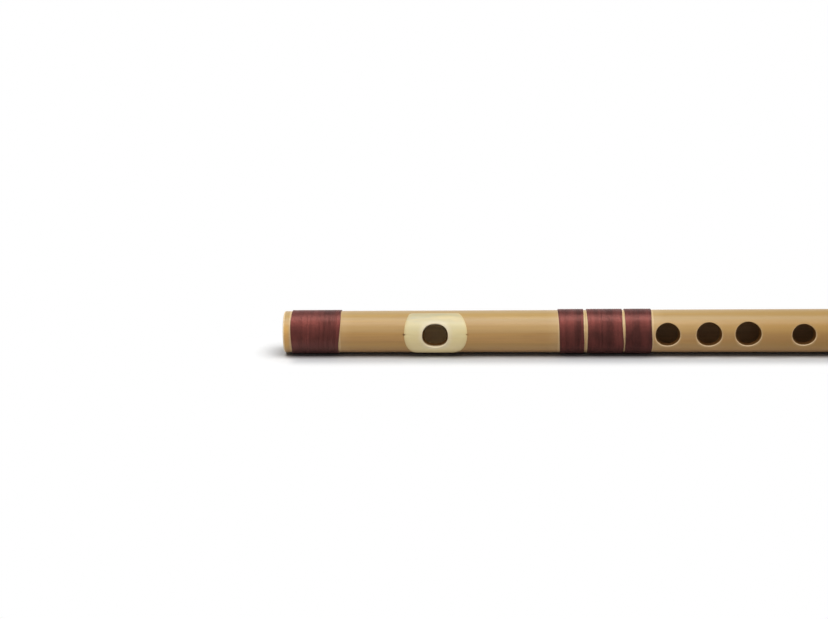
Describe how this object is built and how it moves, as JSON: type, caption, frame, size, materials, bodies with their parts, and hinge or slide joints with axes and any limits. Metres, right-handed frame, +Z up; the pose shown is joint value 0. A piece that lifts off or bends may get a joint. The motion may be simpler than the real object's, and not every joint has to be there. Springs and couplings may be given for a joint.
{
  "type": "bansuri",
  "caption": "Side-blown bamboo flute with an ivory-coloured lip plate, a row of finger holes, dark red thread bindings and a cork stopper in its bore.",
  "frame": {"origin": "on the surface that the flute lies on, under the middle of its length and under the axis of its bore", "axes": "+X along the flute from the head end to the foot end, -Y the player's side, which the holes face (their line is rolled 4 degrees up), +Z up"},
  "size_m": [0.329, 0.0226, 0.0221],
  "materials": {
    "lacquered_bamboo": "pale golden bamboo under a satin lacquer, fine lengthwise streaks",
    "ivory_plate": "polished ivory-coloured plate",
    "cork": "matt cork, granular",
    "dark_red_thread": "dark red thread wound turn beside turn, slight sheen"
  },
  "bodies": {
    "flute": {"bamboo_tube": "lacquered_bamboo", "lip_plate": "ivory_plate", "head_binding": "dark_red_thread", "upper_binding_1": "dark_red_thread", "upper_binding_2": "dark_red_thread", "upper_binding_3": "dark_red_thread", "foot_binding": "dark_red_thread"},
    "stopper": {"cork_stopper": "cork"}
  },
  "joints": [
    {"name": "stopper_slide", "type": "slide", "parent": "flute", "child": "stopper", "axis": [1, 0, 0.0014], "range_m": [-0.003, 0.003]}
  ]
}
